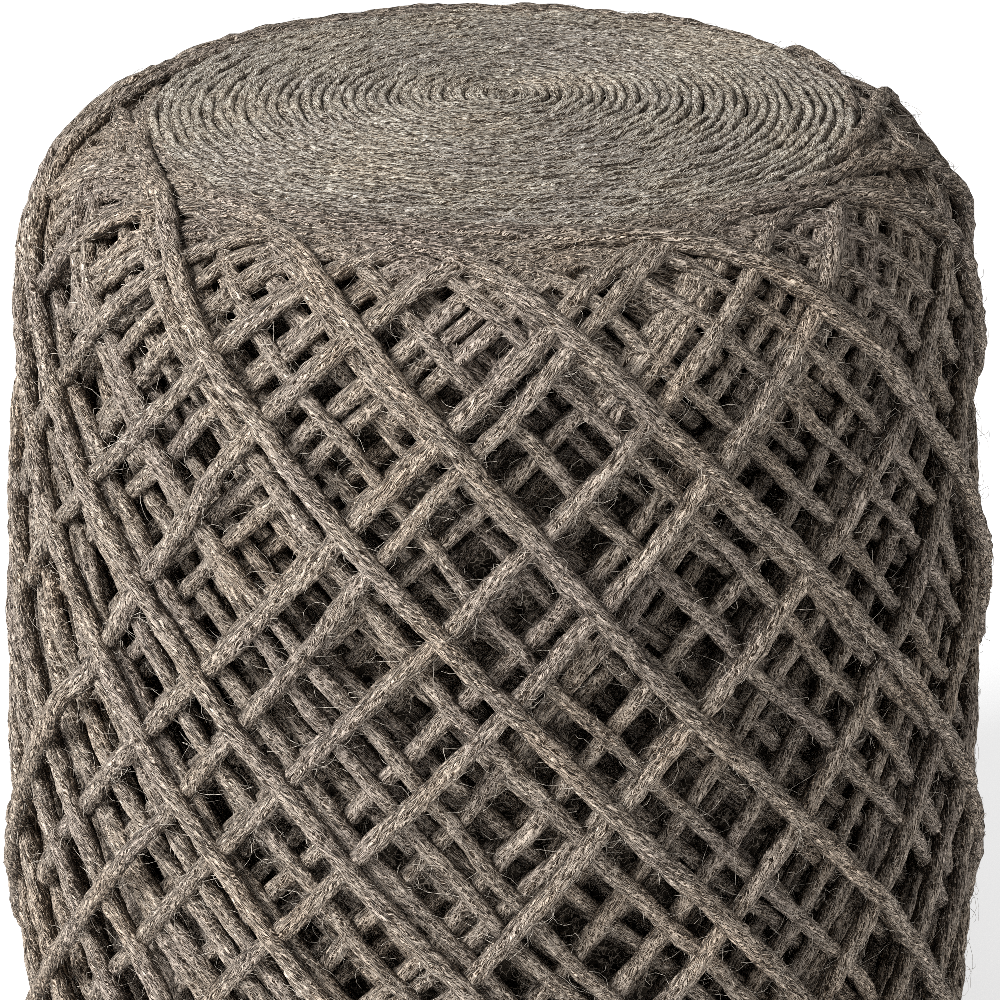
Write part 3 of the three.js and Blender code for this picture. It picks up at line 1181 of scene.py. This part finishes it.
def mottled_material(name, scale, stops, linted):
    material, tree, shader = new_material(name, FELT)
    place = tree.nodes.new("ShaderNodeTexCoord").outputs["Object"]
    tone = noise_at(tree, place, scale, 3.0).outputs["Fac"]
    if linted:
        tone = calculate(tree, "ADD", tone, group_in(tree, LINT, {}).outputs["Mask"])
    tree.links.new(ramp_of(tree, tone, stops), shader.inputs["Base Color"])
    return material


# the core is coloured nearly black as painted shade
core_painted_shade = mottled_material("core_painted_shade", 240, CORE_SHADE_AND_LINT, True)
fibre_wool = mottled_material("fibre_wool", 420, FIBRE_MOTTLE, False)
print("materials now:", len(bpy.data.materials))

# %% [markdown]
# ## Dressing the frame
#
# Each piece rides on the one body and stands for the CAD nodes whose place it takes.

# %% Ride and replace
outer_nodes = [f"outer_yarn_{i:02d}" for i in range(1, 15)]
second_nodes = [f"second_yarn_{i:02d}" for i in range(1, 15)]
DRESSING = [
    # piece, material, slot, CAD nodes that it stands for
    (outer_winding, yarn_wool, "yarn_wool", outer_nodes),
    (second_winding, yarn_wool, "yarn_wool", second_nodes),
    (stuffed_core, core_painted_shade, "deep_wool", ["wound_core"]),
    (top_coil, coil_wool, "coil_wool", ["top_coil"]),
    (base_coil, yarn_wool, "coil_wool", ["base_disc"]),
    (fibre_pieces["short_fibres"], fibre_wool, "yarn_wool", []),
    (fibre_pieces["stray_fibres"], fibre_wool, "yarn_wool", []),
    (fibre_pieces["deep_lint"], fibre_wool, "deep_wool", []),
    (fibre_pieces["coil_fibres"], fibre_wool, "coil_wool", [])]
DRESSING += [(piece, deep_wool, "deep_wool", ["wound_core"])
             for piece in deep_windings + [shoulder_winding]]
for piece, material, slot, nodes in DRESSING:
    piece.data.materials.clear()
    piece.data.materials.append(material)
    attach(piece, "root")
    if nodes:
        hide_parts(*nodes)
print(len(DRESSING), "pieces dressed")

# %% [markdown]
# ## Floor and light
#
# The floor is plain and pale. A little light of its own makes it as bright as the paper white
# ground of the picture. It reaches far back, so that no edge of it is seen from a low view.

# %% Floor
FLOOR_SIZE = 30
FLOOR_PAINT = {"Base Color": (0.9, 0.9, 0.9, 1), "Roughness": 0.7,
               "Emission Color": (1, 1, 1, 1), "Emission Strength": 0.56}
deselect()
bpy.ops.mesh.primitive_plane_add(size=FLOOR_SIZE, location=(0, 0, 0))
floor = bpy.context.object
floor.name = "floor"
floor_paint, _, _ = new_material("floor_paint", FLOOR_PAINT)
floor.data.materials.append(floor_paint)
print("floor of", tuple(floor.dimensions))

# %% [markdown]
# A large soft light stands high on the left, a weak one on the right, and the world fills the
# shade a little.

# %% Lights
AIM = (0, 0, 0.3)
WORLD_LIGHT = 0.30
LIGHTS = [
    # name, place, size, power
    ("key_light", (-1.70, -1.30, 1.9), 1.0, 108),
    ("fill_light", (1.6, -1.9, 1.3), 1.6, 3)]


def soft_light(name, place, size, power):
    data = bpy.data.lights.new(name, "AREA")
    data.size = size
    data.energy = power
    light = bpy.data.objects.new(name, data)
    light.location = place
    aim = np.array(AIM) - np.array(place)
    heading = math.atan2(aim[1], aim[0])
    drop = math.atan2(np.hypot(aim[0], aim[1]), -aim[2])
    light.rotation_euler = (drop, 0, heading - math.pi / 2)
    scene.collection.objects.link(light)
    print(name, "of", power, "W at", place)


for row in LIGHTS:
    soft_light(*row)
world = bpy.data.worlds.new("studio")
scene.world = world
world.use_nodes = True
background = world.node_tree.nodes["Background"].inputs
background["Color"].default_value = (1, 1, 1, 1)
background["Strength"].default_value = WORLD_LIGHT
